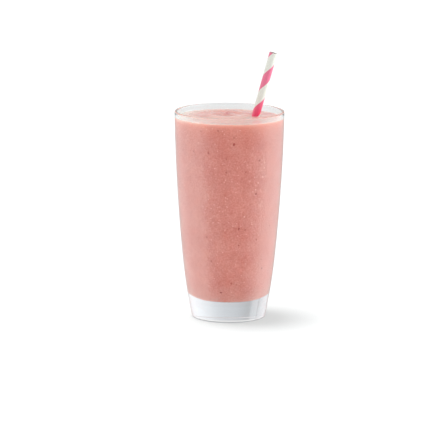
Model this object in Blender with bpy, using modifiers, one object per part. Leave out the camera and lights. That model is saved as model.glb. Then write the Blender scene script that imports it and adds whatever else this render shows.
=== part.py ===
"""A thick pink smoothie in its heavy-based tumbler, with a striped paper straw.

Metres, +Z up. The origin is on the table, on the glass's own axis. The side that the
photograph shows faces -Y, and the straw leans towards +X.

Three objects, one for each real piece:
    glass      clear tumbler with a thick floor, a fire-polished rim and a shallow punt
    smoothie   the drink, up to its level, with a fold on its top, cut round the straw
    straw      paper tube that stands in the drink, its lower end just above the floor
"""

import math

import bpy

MM = 0.001

# The glass
GLASS_HEIGHT = 156 * MM
RIM_RADIUS = 41 * MM
RIM_WALL = 1.8 * MM
RIM_LEAN = math.radians(0.94)  # how far the wall leans from upright just under the rim
UPPER_BEND = 1310 * MM  # radius of the slow arc that the wall follows down from the rim
UPPER_REACH = 112.8 * MM  # how far down from the rim that arc goes
LOWER_BEND = 410 * MM  # radius of the tighter arc below it
FLOOR_THICKNESS = 14.5 * MM  # in the middle, where it is thinnest
FLOOR_WALL = 3.2 * MM  # what the wall's thickness would grow to at the floor's own height
FLOOR_CORNER = 23.5 * MM  # radius inside, between floor and wall, which makes the floor nearly a bowl
FOOT_CORNER = 0.8 * MM
PUNT_RADIUS = 21.5 * MM
PUNT_DEPTH = 0.9 * MM

# The drink
FREE_DEPTH = 4.8 * MM  # from the top of the rim down to the drink
FOLD_HEIGHT = 0.3 * MM
FOLD_PITCH = 17 * MM  # from one turn of the fold to the next
FOLD_CENTRE = (-5 * MM, 12 * MM)
FOLD_FADE = 9 * MM  # the fold dies out over this distance from the wall
DRINK_TILT = 0.25 * MM  # how much higher the drink stands at the left of the glass than in the middle

# The straw
STRAW_RADIUS = 3 * MM
STRAW_WALL = 0.45 * MM
STRAW_LENGTH = 186 * MM
STRAW_LEAN = math.radians(15.2)
STRAW_TOP = (32.5 * MM, 6 * MM, 198.9 * MM)  # the middle of its open top end

GAP = 0.3 * MM  # between pieces that touch

TURN_STEPS = 56
STRAW_STEPS = 24
WALL_STEPS = 9
CORNER_STEPS = 8
TOP_RINGS = 12


def arc_inset(depth, lean, bend):
    """How far a wall has come in after going down by depth along an arc, and its lean there."""
    lean_there = math.asin(math.sin(lean) + depth / bend)
    return bend * (math.cos(lean) - math.cos(lean_there)), lean_there


def outer_radius(z):
    depth = GLASS_HEIGHT - z
    inset, lean = arc_inset(min(depth, UPPER_REACH), RIM_LEAN, UPPER_BEND)
    if depth > UPPER_REACH:
        inset += arc_inset(depth - UPPER_REACH, lean, LOWER_BEND)[0]
    return RIM_RADIUS - inset


def inner_radius(z):
    share = (GLASS_HEIGHT - z) / (GLASS_HEIGHT - FLOOR_THICKNESS)
    return outer_radius(z) - RIM_WALL - (FLOOR_WALL - RIM_WALL) * share * share


def lean_of(radius_at, z):
    """The angle from upright of a wall whose radius at a height is radius_at."""
    return math.atan((radius_at(z + MM) - radius_at(z - MM)) / (2 * MM))


def arc(centre, radius, start, end, steps):
    """Points of an arc in section, from one angle to another, both ends included."""
    angles = [start + (end - start) * i / steps for i in range(steps + 1)]
    return [(centre[0] + radius * math.cos(a), centre[1] + radius * math.sin(a)) for a in angles]


def rounded_foot_of(radius_at, bottom, corner, inset=0.0):
    """The arc that joins a flat bottom to a leaning wall, from the bottom up, moved inwards by inset."""
    lean = lean_of(radius_at, bottom + corner)
    wall_radius = radius_at(bottom + corner * (1 - math.sin(lean)))
    centre = (wall_radius - corner * math.cos(lean), bottom + corner)
    return arc(centre, corner - inset, -math.pi / 2, -lean, CORNER_STEPS)


def wall_between(radius_at, low, high, inset=0.0):
    """Points of a wall above its foot, up to a height."""
    heights = [low + (high - low) * i / WALL_STEPS for i in range(1, WALL_STEPS + 1)]
    return [(radius_at(z) - inset, z) for z in heights]


def cavity_outline(top, inset=0.0):
    """The inside of the glass in section, from the middle of its floor up to a height."""
    corner = rounded_foot_of(inner_radius, FLOOR_THICKNESS, FLOOR_CORNER, inset)
    wall = wall_between(inner_radius, corner[-1][1], top, inset)
    return [(0.0, FLOOR_THICKNESS + inset)] + corner + wall


def surface_height(x, y):
    """Height of the drink's top above its level: one spiral fold on a slightly tilted surface."""
    dx, dy = x - FOLD_CENTRE[0], y - FOLD_CENTRE[1]
    turns = math.hypot(dx, dy) / FOLD_PITCH - math.atan2(dy, dx) / (2 * math.pi)
    edge = (inner_radius(GLASS_HEIGHT - FREE_DEPTH) - math.hypot(x, y)) / FOLD_FADE
    middle = math.hypot(dx, dy) / (FOLD_PITCH / 2)
    strength = min(1.0, max(0.0, edge)) * min(1.0, middle)
    return FOLD_HEIGHT * strength * math.cos(2 * math.pi * turns) - DRINK_TILT * x / RIM_RADIUS


def principled(name, colour, roughness, transmission=0.0):
    material = bpy.data.materials.new(name)
    material.use_nodes = True
    shader = material.node_tree.nodes["Principled BSDF"]
    shader.inputs["Base Color"].default_value = (*colour, 1.0)
    shader.inputs["Roughness"].default_value = roughness
    shader.inputs["Metallic"].default_value = 0.0
    shader.inputs["Transmission Weight"].default_value = transmission
    return material


def turned(name, outline, steps, collection, closed=False):
    """A solid of revolution about Z from an outline that runs down its outer side."""
    edges = [(i, i + 1) for i in range(len(outline) - 1)]
    if closed:
        edges.append((len(outline) - 1, 0))
    mesh = bpy.data.meshes.new(name)
    mesh.from_pydata([(r, 0.0, z) for r, z in outline], edges, [])
    piece = bpy.data.objects.new(name, mesh)
    collection.objects.link(piece)
    screw = piece.modifiers.new("Turn", "SCREW")
    screw.steps = steps
    screw.render_steps = steps
    screw.use_merge_vertices = True
    screw.merge_threshold = 0.01 * MM
    screw.use_smooth_shade = True
    return piece


def made_mesh(piece, collection):
    """The same piece with its modifiers made into a plain mesh."""
    evaluated = piece.evaluated_get(bpy.context.evaluated_depsgraph_get())
    mesh = bpy.data.meshes.new_from_object(evaluated)
    name = piece.name
    bpy.data.objects.remove(piece)
    plain = bpy.data.objects.new(name, mesh)
    collection.objects.link(plain)
    return plain


def make_glass(collection):
    rim_round = RIM_WALL / 2
    rim_centre = (RIM_RADIUS - rim_round, GLASS_HEIGHT - rim_round)
    foot = rounded_foot_of(outer_radius, 0.0, FOOT_CORNER)
    outer_wall = wall_between(outer_radius, foot[-1][1], GLASS_HEIGHT - rim_round)
    outline = cavity_outline(GLASS_HEIGHT - rim_round)
    outline += arc(rim_centre, rim_round, math.pi, 0.0, CORNER_STEPS + 1)[1:-1]
    outline += reversed(foot + outer_wall)
    outline += [(PUNT_RADIUS, 0.0), (PUNT_RADIUS * 0.85, PUNT_DEPTH * 0.7), (0.0, PUNT_DEPTH)]
    glass = turned("glass", outline, TURN_STEPS, collection)
    glass.data.materials.append(principled("clear_glass", (0.96, 0.98, 0.98), 0.02, 1.0))


def straw_tube(name, start, end, outer, inner, collection):
    """A tube along the straw's own axis, placed as the straw is; start and end are from its lower end."""
    outline = [(outer, end), (outer, start), (inner, start), (inner, end)]
    tube = turned(name, outline, STRAW_STEPS, collection, closed=True)
    x, y, z = STRAW_TOP
    tube.location = (
        x - STRAW_LENGTH * math.sin(STRAW_LEAN),
        y,
        z - STRAW_LENGTH * math.cos(STRAW_LEAN),
    )
    tube.rotation_euler = (0.0, STRAW_LEAN, 0.0)
    return tube


def make_straw(collection):
    inner = STRAW_RADIUS - STRAW_WALL
    straw = straw_tube("straw", 0.0, STRAW_LENGTH, STRAW_RADIUS, inner, collection)
    straw.data.materials.append(principled("striped_paper", (0.80, 0.20, 0.32), 0.55))


def make_smoothie(collection, cutters):
    level = GLASS_HEIGHT - FREE_DEPTH
    sides = cavity_outline(level, GAP)
    top_radius = sides[-1][0]
    rings = [(top_radius * i / TOP_RINGS, level) for i in range(TOP_RINGS)]
    smoothie = made_mesh(turned("smoothie", rings + sides[::-1], TURN_STEPS, collection), collection)
    for vertex in smoothie.data.vertices:
        if vertex.co.z > level - 0.01 * MM:
            vertex.co.z += surface_height(vertex.co.x, vertex.co.y)
    smoothie.data.shade_smooth()
    smoothie.data.set_sharp_from_angle(angle=math.radians(40))
    smoothie.data.materials.append(principled("thick_smoothie", (0.68, 0.30, 0.24), 0.35))

    sleeve_outer = STRAW_RADIUS + GAP
    sleeve_inner = STRAW_RADIUS - STRAW_WALL - GAP
    sleeve = straw_tube("straw_sleeve", -GAP, STRAW_LENGTH, sleeve_outer, sleeve_inner, cutters)
    sleeve.hide_render = True
    sleeve.display_type = "WIRE"
    cut = smoothie.modifiers.new("Room for the straw", "BOOLEAN")
    cut.operation = "DIFFERENCE"
    cut.solver = "EXACT"
    cut.object = sleeve


def main():
    for leftover in list(bpy.data.objects):
        bpy.data.objects.remove(leftover, do_unlink=True)
    parts = bpy.data.collections.new("smoothie_in_glass")
    cutters = bpy.data.collections.new("cutters")
    bpy.context.scene.collection.children.link(parts)
    bpy.context.scene.collection.children.link(cutters)
    make_glass(parts)
    make_straw(parts)
    make_smoothie(parts, cutters)


main()
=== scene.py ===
# %% [markdown]
# # A pink smoothie in a heavy tumbler
#
# The real object is a thick fruit and milk smoothie in a clear, heavy-based tumbler, with a paper straw
# wound from pink and white striped paper. Its solids are already built to size. This script dresses them:
# it turns a fine glass, pours a drink with a soft fold on top into it, winds the straw's paper, and
# sprinkles in the fruit flecks and small air bubbles that make it look blended and not painted.
#
# All lengths are in metres, and +Z is up. The side that the picture shows faces -Y.

import math

import bpy
from mathutils import Matrix, Vector, noise


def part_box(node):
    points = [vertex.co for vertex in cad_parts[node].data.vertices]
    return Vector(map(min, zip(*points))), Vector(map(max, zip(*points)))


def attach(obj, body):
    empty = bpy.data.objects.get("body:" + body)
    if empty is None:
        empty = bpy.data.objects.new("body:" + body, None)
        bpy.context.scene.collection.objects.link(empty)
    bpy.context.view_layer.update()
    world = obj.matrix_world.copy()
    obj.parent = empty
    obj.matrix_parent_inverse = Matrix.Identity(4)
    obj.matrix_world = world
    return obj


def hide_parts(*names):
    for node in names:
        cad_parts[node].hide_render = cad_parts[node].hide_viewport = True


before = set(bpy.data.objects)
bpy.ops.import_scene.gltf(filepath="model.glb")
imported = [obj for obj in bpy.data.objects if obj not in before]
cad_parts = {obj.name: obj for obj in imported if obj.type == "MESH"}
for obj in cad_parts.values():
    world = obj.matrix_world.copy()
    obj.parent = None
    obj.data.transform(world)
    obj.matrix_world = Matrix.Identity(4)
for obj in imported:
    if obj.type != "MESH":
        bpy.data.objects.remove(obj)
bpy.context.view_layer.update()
for name in sorted(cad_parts):
    lowest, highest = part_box(name)
    print(name, "is", [round(1000 * side, 1) for side in highest - lowest], "mm")

# %% [markdown]
# ## The sizes that everything follows
#
# A tumbler is a turned shape, so one outline says all of it. The wall outside follows two arcs: a long slow
# one down from the rim, and a tighter one that pulls in towards the foot. The wall inside is the same curve
# moved in by the thickness of the glass, which grows from 1.8 mm at the rim to 3.2 mm at the floor, as
# pressed glass does. The numbers are the solids' own, so the looks can't drift away from them.

# %% Sizes of the glass, the drink and the straw
MM = 0.001
BODY = "root"

GLASS_HEIGHT = 156 * MM
RIM_RADIUS = 41 * MM
RIM_WALL = 1.8 * MM
RIM_LEAN = math.radians(0.94)  # how far the wall leans from upright just under the rim
UPPER_BEND = 1310 * MM  # radius of the slow arc
UPPER_REACH = 112.8 * MM  # how far down from the rim it goes
LOWER_BEND = 410 * MM
FLOOR_THICKNESS = 14.5 * MM
FLOOR_WALL = 3.2 * MM
FLOOR_CORNER = 23.5 * MM  # radius inside, between floor and wall, which makes the floor nearly a bowl
FOOT_CORNER = 0.8 * MM
PUNT_RADIUS = 21.5 * MM  # the shallow hollow under the foot
PUNT_DEPTH = 0.9 * MM
PUNT_SHOULDER = (0.85, 0.7)  # where it starts to flatten, as shares of its radius and its depth

FREE_DEPTH = 4.8 * MM  # from the top of the rim down to the drink
LEVEL = GLASS_HEIGHT - FREE_DEPTH
FOLD_HEIGHT = 0.3 * MM
FOLD_PITCH = 17 * MM
FOLD_CENTRE = (-5 * MM, 12 * MM)
FOLD_FADE = 9 * MM
DRINK_TILT = 0.25 * MM

STRAW_RADIUS = 3 * MM
STRAW_WALL = 0.45 * MM
STRAW_LENGTH = 186 * MM
STRAW_LEAN = math.radians(15.2)
STRAW_TOP = Vector((32.5, 6, 198.9)) * MM
STRAW_AXIS = Vector((math.sin(STRAW_LEAN), 0, math.cos(STRAW_LEAN)))
STRAW_FOOT = STRAW_TOP - STRAW_LENGTH * STRAW_AXIS
print("the straw stands at", [round(x / MM, 1) for x in STRAW_FOOT], "mm")

# %% The two curves of the wall
def arc_inset(depth, lean, bend):
    """How far a wall has come in after going down by depth along an arc, and its lean there."""
    lean_there = math.asin(math.sin(lean) + depth / bend)
    return bend * (math.cos(lean) - math.cos(lean_there)), lean_there


def outer_radius(z):
    depth = GLASS_HEIGHT - z
    inset, lean = arc_inset(min(depth, UPPER_REACH), RIM_LEAN, UPPER_BEND)
    if depth > UPPER_REACH:
        inset += arc_inset(depth - UPPER_REACH, lean, LOWER_BEND)[0]
    return RIM_RADIUS - inset


def inner_radius(z):
    share = (GLASS_HEIGHT - z) / (GLASS_HEIGHT - FLOOR_THICKNESS)
    return outer_radius(z) - RIM_WALL - (FLOOR_WALL - RIM_WALL) * share * share


def lean_of(radius_at, z):
    """The angle from upright of a wall whose radius at a height is radius_at."""
    return math.atan((radius_at(z + MM) - radius_at(z - MM)) / (2 * MM))


print("wall", round(inner_radius(LEVEL) / MM, 2), "mm from the axis at the drink's level")

# %% [markdown]
# An outline needs points only where the shape turns, but glass is unforgiving: light bends at each facet, so
# a coarse corner shows as a band. The corners here get 24 steps and the wall 48, and later the outline is
# turned in 192 steps, which is about 1.3 mm at the rim.

# %% Outlines in section
CORNER_STEPS = 24
WALL_STEPS = 48


def arc(centre, radius, start, end, steps):
    """Points of an arc in section, from one angle to another, both ends included."""
    angles = [start + (end - start) * i / steps for i in range(steps + 1)]
    return [(centre[0] + radius * math.cos(a), centre[1] + radius * math.sin(a)) for a in angles]


def rounded_foot_of(radius_at, bottom, corner, inset=0.0):
    """The arc that joins a flat bottom to a leaning wall, from the bottom up, moved inwards by inset."""
    lean = lean_of(radius_at, bottom + corner)
    wall_radius = radius_at(bottom + corner * (1 - math.sin(lean)))
    centre = (wall_radius - corner * math.cos(lean), bottom + corner)
    return arc(centre, corner - inset, -math.pi / 2, -lean, CORNER_STEPS)


def wall_between(radius_at, low, high, inset=0.0):
    """Points of a wall above its foot, up to a height."""
    heights = [low + (high - low) * i / WALL_STEPS for i in range(1, WALL_STEPS + 1)]
    return [(radius_at(z) - inset, z) for z in heights]


def cavity_outline(top, inset=0.0):
    """The inside of the glass in section, from the middle of its floor up to a height."""
    corner = rounded_foot_of(inner_radius, FLOOR_THICKNESS, FLOOR_CORNER, inset)
    wall = wall_between(inner_radius, corner[-1][1], top, inset)
    return [(0.0, FLOOR_THICKNESS + inset)] + corner + wall


print("the cavity's outline has", len(cavity_outline(LEVEL)), "points")

# %% [markdown]
# ## Two small helpers
#
# Colours are written as the hex values that a paint chart or a web page would give. Blender works in linear
# light, so one function turns them. Nodes are added by another: it makes the node, sets its settings, and
# gives each input either a value or a link, so that a material reads from top to bottom.

# %% Colours and nodes
def colour(hex_code):
    """An sRGB hex colour as linear RGBA."""
    channels = [int(hex_code[i : i + 2], 16) / 255 for i in (1, 3, 5)]
    linear = [c / 12.92 if c <= 0.04045 else ((c + 0.055) / 1.055) ** 2.4 for c in channels]
    return (*linear, 1.0)


def add_node(tree, kind, settings=None, inputs=None):
    """Adds a node with its settings. An input is named, or numbered where names repeat."""
    node = tree.nodes.new(kind)
    for setting, value in (settings or {}).items():
        setattr(node, setting, value)
    for key, value in (inputs or {}).items():
        if isinstance(key, int):
            socket = node.inputs[key]
        else:
            socket = next(s for s in node.inputs if s.enabled and s.name == key)
        if isinstance(value, bpy.types.NodeSocket):
            tree.links.new(value, socket)
        else:
            socket.default_value = value
    return node


print("a mid pink in linear light is", [round(c, 3) for c in colour("#C9857A")])

# %% Materials and objects, begun and ended the same way
scene = bpy.context.scene


def new_material(name):
    """An empty node material and its tree."""
    material = bpy.data.materials.new(name)
    material.use_nodes = True
    material.node_tree.nodes.clear()
    return material, material.node_tree


def finish_material(tree, surface):
    add_node(tree, "ShaderNodeOutputMaterial", inputs={"Surface": surface})


def add_object(name, mesh):
    thing = bpy.data.objects.new(name, mesh)
    scene.collection.objects.link(thing)
    return thing


# %% [markdown]
# ## The camera
#
# The picture was taken with a long lens from a little above the rim. A long lens keeps the tumbler's sides
# nearly parallel and its ellipses flat. The lens and the distance come from the ellipses of rim, drink and
# foot, which open at different rates. The glass stands a little right of the picture's middle, and a lens
# shift puts it there without turning the camera.

# %% Camera
PICTURE_SIDE = 424  # pixels
CAMERA_DISTANCE = 2.3
CAMERA_HEIGHT = 0.509
AIM_HEIGHT = 78 * MM
AIM_PIXEL = (228.98, 213.5)  # where the aim point lies in the picture
CAMERA_ROLL = math.radians(0.30)
PIXELS_PER_RADIAN = 3117
SENSOR_WIDTH = 36  # mm
FARTHEST_SEEN = 50  # metres


def make_camera():
    data = bpy.data.cameras.new("camera")
    data.sensor_width = SENSOR_WIDTH
    data.lens = SENSOR_WIDTH * PIXELS_PER_RADIAN / PICTURE_SIDE
    data.shift_x = -(AIM_PIXEL[0] - PICTURE_SIDE / 2) / PICTURE_SIDE
    data.shift_y = (AIM_PIXEL[1] - PICTURE_SIDE / 2) / PICTURE_SIDE
    data.clip_end = FARTHEST_SEEN
    camera = add_object("camera", data)
    camera.location = (0, -CAMERA_DISTANCE, CAMERA_HEIGHT)
    towards = Vector((0, 0, AIM_HEIGHT)) - camera.location
    aimed = towards.to_track_quat("-Z", "Y").to_matrix() @ Matrix.Rotation(CAMERA_ROLL, 3, "Z")
    camera.rotation_euler = aimed.to_euler()
    scene.camera = camera
    return camera


print("lens", round(make_camera().data.lens, 1), "mm")

# %% [markdown]
# ## The studio
#
# Drinks are photographed on a white sweep between two tall softboxes, with a large soft light above. The
# floor is lit until it is just white, so that only the shadow beside the foot is left of it. It could be
# white paper under strong lamps, but then the drink would throw pink on it. So the paper is a mid grey that
# takes up little of that pink, and a glow of its own lifts it to white.

# %% The paper floor
scene.view_settings.view_transform = "Standard"

FLOOR_RADIUS = 12.0
FLOOR_STEPS = 64
FLOOR_DROP = 0.05 * MM  # so that the foot and the floor don't share a plane
FLOOR_GREY = colour("#898989")
FLOOR_TINT = colour("#F9FFFF")  # a trace cool, against the pink that the drink still throws on it
FLOOR_GLOW = 0.47


def matt_floor_paper():
    """Matt paper, lit to just past white: the eye gets no edge and no sheen, only the shadow."""
    material, tree = new_material("matt floor paper")
    matt = add_node(tree, "ShaderNodeBsdfDiffuse", inputs={"Color": FLOOR_GREY})
    glow = add_node(tree, "ShaderNodeEmission", inputs={"Color": FLOOR_TINT, "Strength": FLOOR_GLOW})
    both = add_node(tree, "ShaderNodeAddShader", inputs={0: matt.outputs[0], 1: glow.outputs[0]})
    finish_material(tree, both.outputs[0])
    return material


def add_mesh(name, vertices, faces, material):
    mesh = bpy.data.meshes.new(name)
    mesh.from_pydata(vertices, [], faces)
    mesh.materials.append(material)
    return add_object(name, mesh)


def make_floor():
    turns = [2 * math.pi * i / FLOOR_STEPS for i in range(FLOOR_STEPS)]
    ring = [(FLOOR_RADIUS * math.cos(turn), FLOOR_RADIUS * math.sin(turn), -FLOOR_DROP) for turn in turns]
    floor = add_mesh("floor", ring, [list(range(FLOOR_STEPS))], matt_floor_paper())
    floor.visible_glossy = False
    floor.visible_transmission = False
    floor.visible_diffuse = False
    return floor


floor = make_floor()
print("floor", 2 * FLOOR_RADIUS, "m across")

# %% [markdown]
# The world is the room round the sweep. One white all round would make the glass vanish, so its strength
# depends on what looks at it: white to the camera, soft and even on matt things, a trace brighter through
# glass, and for what is glossy, dim in front and bright behind, as a studio is whose lights stand at the
# sides, above and behind.

# %% The world
SEEN_DIRECTLY = 1.0
SEEN_THROUGH_GLASS = 1.08
ON_MATT_THINGS = 1.22
ON_GLOSS = (0.1, 1.0)  # from in front and from behind
FRONT_TO_BEHIND = (-0.9, 0.3)  # where the one gives way to the other, along Y


def make_world():
    world = bpy.data.worlds.new("studio")
    world.use_nodes = True
    tree = world.node_tree
    tree.nodes.clear()
    direction = add_node(tree, "ShaderNodeTexCoord").outputs["Generated"]
    along_y = add_node(tree, "ShaderNodeSeparateXYZ", inputs={0: direction}).outputs["Y"]
    strength = add_node(
        tree,
        "ShaderNodeMapRange",
        {"interpolation_type": "SMOOTHSTEP"},
        {
            "Value": along_y,
            "From Min": FRONT_TO_BEHIND[0],
            "From Max": FRONT_TO_BEHIND[1],
            "To Min": ON_GLOSS[0],
            "To Max": ON_GLOSS[1],
        },
    ).outputs["Result"]
    path = add_node(tree, "ShaderNodeLightPath").outputs
    strength = add_node(
        tree,
        "ShaderNodeMix",
        {"data_type": "FLOAT"},
        {"Factor": path["Is Glossy Ray"], "A": ON_MATT_THINGS, "B": strength},
    ).outputs["Result"]
    for ray, seen in (("Is Transmission Ray", SEEN_THROUGH_GLASS), ("Is Camera Ray", SEEN_DIRECTLY)):
        strength = add_node(
            tree,
            "ShaderNodeMix",
            {"data_type": "FLOAT"},
            {"Factor": path[ray], "A": strength, "B": seen},
        ).outputs["Result"]
    light = add_node(tree, "ShaderNodeBackground", inputs={"Strength": strength})
    add_node(tree, "ShaderNodeOutputWorld", inputs={"Surface": light.outputs[0]})
    scene.world = world
    return world


print("the world's tree has", len(make_world().node_tree.nodes), "nodes")

# %% [markdown]
# ## Cards of light
#
# Clear glass has no look of its own: it shows what stands round it. Tall softboxes at both sides give the
# pale sheen on its flanks, and the dark gap between them keeps the middle of the drink deep. Each could be
# a lamp in a box with a cloth front, but only its glow is seen, so each is a bent card, part of a drum
# round the glass. How bright the card is round the drum is listed in degrees from the picture's side, and
# stored on its points. A card reaches far below the floor and dims there, because glass that is
# seen from above mirrors what lies below it.

# %% Reading a value off a few points
def read_off(place, points):
    """The value at a place, read from (place, value) points joined by straight lines."""
    for (a, low), (b, high) in zip(points, points[1:]):
        if a <= place <= b:
            return low + (high - low) * (place - a) / (b - a)
    return 0.0


print("halfway up a ramp from 0 to 3:", read_off(0.5, [(0, 0), (1, 3)]))

# %% Bent cards that only glass and gloss can see
CARD_STEP = 1.5  # degrees


def card_material(name, tint):
    """Glowing card: it shows in glass and gloss as a soft-edged band of light."""
    material, tree = new_material(name)
    glow = add_node(tree, "ShaderNodeAttribute", {"attribute_name": "glow"}).outputs["Fac"]
    light = add_node(tree, "ShaderNodeEmission", inputs={"Color": tint, "Strength": glow})
    finish_material(tree, light.outputs[0])
    return material


def curved_card(name, radius, rows, brightness, tint):
    """Part of an upright drum round the glass. Its rows run upwards, each with its height and its share
    of the brightness, and its angles run from the picture's side, to the right."""
    start, end = brightness[0][0], brightness[-1][0]
    steps = round((end - start) / CARD_STEP)
    angles = [start + (end - start) * i / steps for i in range(steps + 1)]
    vertices, glows, faces = [], [], []
    for angle in angles:
        x, y = radius * math.sin(math.radians(angle)), -radius * math.cos(math.radians(angle))
        vertices += [(x, y, height) for height, _ in rows]
        glows += [share * read_off(angle, brightness) for _, share in rows]
    for i in range(steps):
        for row in range(len(rows) - 1):
            corner = len(rows) * i + row
            faces.append((corner, corner + len(rows), corner + len(rows) + 1, corner + 1))
    card = add_mesh(name, vertices, faces, card_material(name, tint))
    card.data.attributes.new("glow", "FLOAT", "POINT").data.foreach_set("value", glows)
    card.visible_camera = False
    card.visible_diffuse = False
    card.visible_shadow = False
    return card


print("a full drum has", round(360 / CARD_STEP), "steps")

# %% The two softboxes
PURE_WHITE = colour("#FFFFFF")
SOFTBOX_RADIUS = 1.2
SOFTBOX_ROWS = [(-7.0, 0.3), (-1.0, 1.0), (1.0, 1.0)]  # heights, and the shares of the brightness there
LEFT_BOX = [  # degrees round from the picture's side, and how bright the card is there
    (-180, 0.55),
    (-165, 0.7),
    (-150, 1.1),
    (-139, 1.5),
    (-116, 2.3),
    (-85, 2.6),
    (-62, 2.4),
    (-45, 1.3),
    (-35, 0.8),
    (-18, 0.25),
    (-8, 0.0),
]
RIGHT_BOX = [
    (32, 0.0),
    (45, 0.5),
    (58, 1.2),
    (68, 1.7),
    (80, 2.5),
    (94, 3.0),
    (115, 2.5),
    (130, 1.9),
    (146, 1.25),
    (160, 0.7),
    (180, 0.4),
]
for name, brightness in (("left_softbox", LEFT_BOX), ("right_softbox", RIGHT_BOX)):
    softbox = curved_card(name, SOFTBOX_RADIUS, SOFTBOX_ROWS, brightness, PURE_WHITE)
    softbox.visible_transmission = False
    print(name, "has", len(softbox.data.polygons), "faces")

# %% [markdown]
# The thick base is a lens: it gathers what stands low behind the glass. A low ring of grey card, seen through
# glass only, gives it the pale grey of the picture, which darkens towards the right behind, with one thin
# dark line where the real studio had an edge.

# %% The grey ring round the base
COOL_WHITE = colour("#F8FAFF")
RING_RADIUS = 0.13
RING_ROWS = [(-0.05, 1.0), (0.05, 1.0)]
RING_GREYS = [
    (-180, 0.7),
    (-172, 0.63),
    (-164, 0.46),
    (-160, 0.6),
    (-153, 0.6),
    (-151.5, 0.4),
    (-150, 0.6),
    (-130, 0.84),
    (-90, 0.96),
    (0, 1.05),
    (130, 1.0),
    (155, 0.9),
    (163, 0.81),
    (180, 0.7),
]
grey_ring = curved_card("grey_ring", RING_RADIUS, RING_ROWS, RING_GREYS, COOL_WHITE)
grey_ring.visible_glossy = False
print("the ring is", round(2 * RING_RADIUS / MM), "mm across")

# %% [markdown]
# ## The lamps
#
# The cards make the glass shine, and five lamps give the matt things their shape. A weak one hangs above. Two
# stand at the sides and throw no shadow, so that the drink stays evenly lit. One lights the right edge of
# the straw alone. The last is far and wide and shines on the floor alone, for an even white and for one soft
# shadow that falls to the right. Light linking tells each of these last two what it may light.

# %% Lamps
TOP_LAMP = {"place": (0.0, 0.2, 1.1), "size": 0.9, "watts": 1}
RIGHT_LAMP = {"place": (0.9, -0.5, 0.55), "size": 0.5, "watts": 1.7}
LEFT_LAMP = {"place": (-0.8, -0.9, 0.55), "size": 0.5, "watts": 1.1}
STRAW_LAMP = {"place": (1.0, 0.1, 0.4), "size": 0.4, "watts": 5.5}
FLOOR_SUN = {"place": (-0.15, 0.08, 1.0), "angle": math.radians(20), "strength": 5.0}


def make_lamp(name, place, size, watts):
    """A round lamp that faces the glass and is never seen itself."""
    data = bpy.data.lights.new(name, "AREA")
    data.shape = "DISK"
    data.size = size
    data.energy = watts
    lamp = add_object(name, data)
    lamp.location = place
    lamp.rotation_euler = (Vector((0, 0, AIM_HEIGHT)) - lamp.location).to_track_quat("-Z", "Y").to_euler()
    lamp.visible_camera = False
    lamp.visible_glossy = False
    return lamp


def make_floor_sun(place, angle, strength):
    data = bpy.data.lights.new("floor_sun", "SUN")
    data.angle = angle
    data.energy = strength
    sun = add_object("floor_sun", data)
    sun.location = place
    sun.rotation_euler = (-sun.location).to_track_quat("-Z", "Y").to_euler()
    return sun


def shine_only_on(lamp, thing):
    chosen = bpy.data.collections.new("lit by " + lamp.name)
    chosen.objects.link(thing)
    lamp.light_linking.receiver_collection = chosen


make_lamp("top_lamp", **TOP_LAMP)
for name, lamp in (("right_lamp", RIGHT_LAMP), ("left_lamp", LEFT_LAMP)):
    make_lamp(name, **lamp).data.use_shadow = False
shine_only_on(make_floor_sun(**FLOOR_SUN), floor)
straw_lamp = make_lamp("straw_lamp", **STRAW_LAMP)

# %% [markdown]
# ## The glass
#
# The tumbler is soda-lime glass, pressed in a mould and fire-polished at the rim: quite colourless, a trace
# blue-green where one looks along it, and with a very slight waviness left by the mould, which makes its
# reflections swim a little. It bends light by about 1.52. Real glass lets lamplight through, but a path
# tracer finds a lamp behind glass only by luck, so the material is plain glass to the eye and clear to
# shadow and diffuse rays.

# %% Soda-lime glass
GLASS_IOR = 1.52
WAVE_WIDTH = 22 * MM
WAVE_HEIGHT = 0.08 * MM


def soda_lime_glass():
    material, tree = new_material("pressed soda-lime glass")
    place = add_node(tree, "ShaderNodeTexCoord").outputs["Object"]
    waves = add_node(
        tree, "ShaderNodeTexNoise", inputs={"Vector": place, "Scale": 1 / WAVE_WIDTH, "Detail": 1.0}
    ).outputs["Fac"]
    ripple = add_node(
        tree, "ShaderNodeBump", inputs={"Height": waves, "Strength": 0.25, "Distance": WAVE_HEIGHT}
    ).outputs["Normal"]
    surface = add_node(
        tree,
        "ShaderNodeBsdfPrincipled",
        inputs={
            "Base Color": colour("#FAFDFD"),
            "Roughness": 0.0,
            "IOR": GLASS_IOR,
            "Transmission Weight": 1.0,
            "Normal": ripple,
        },
    ).outputs[0]
    clear = add_node(tree, "ShaderNodeBsdfTransparent", inputs={"Color": colour("#FDFEFE")}).outputs[0]
    path = add_node(tree, "ShaderNodeLightPath").outputs
    for ray in ("Is Diffuse Ray", "Is Shadow Ray"):
        surface = add_node(
            tree, "ShaderNodeMixShader", inputs={0: path[ray], 1: surface, 2: clear}
        ).outputs[0]
    finish_material(tree, surface)
    return material


glass_material = soda_lime_glass()
print(glass_material.name)
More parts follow.
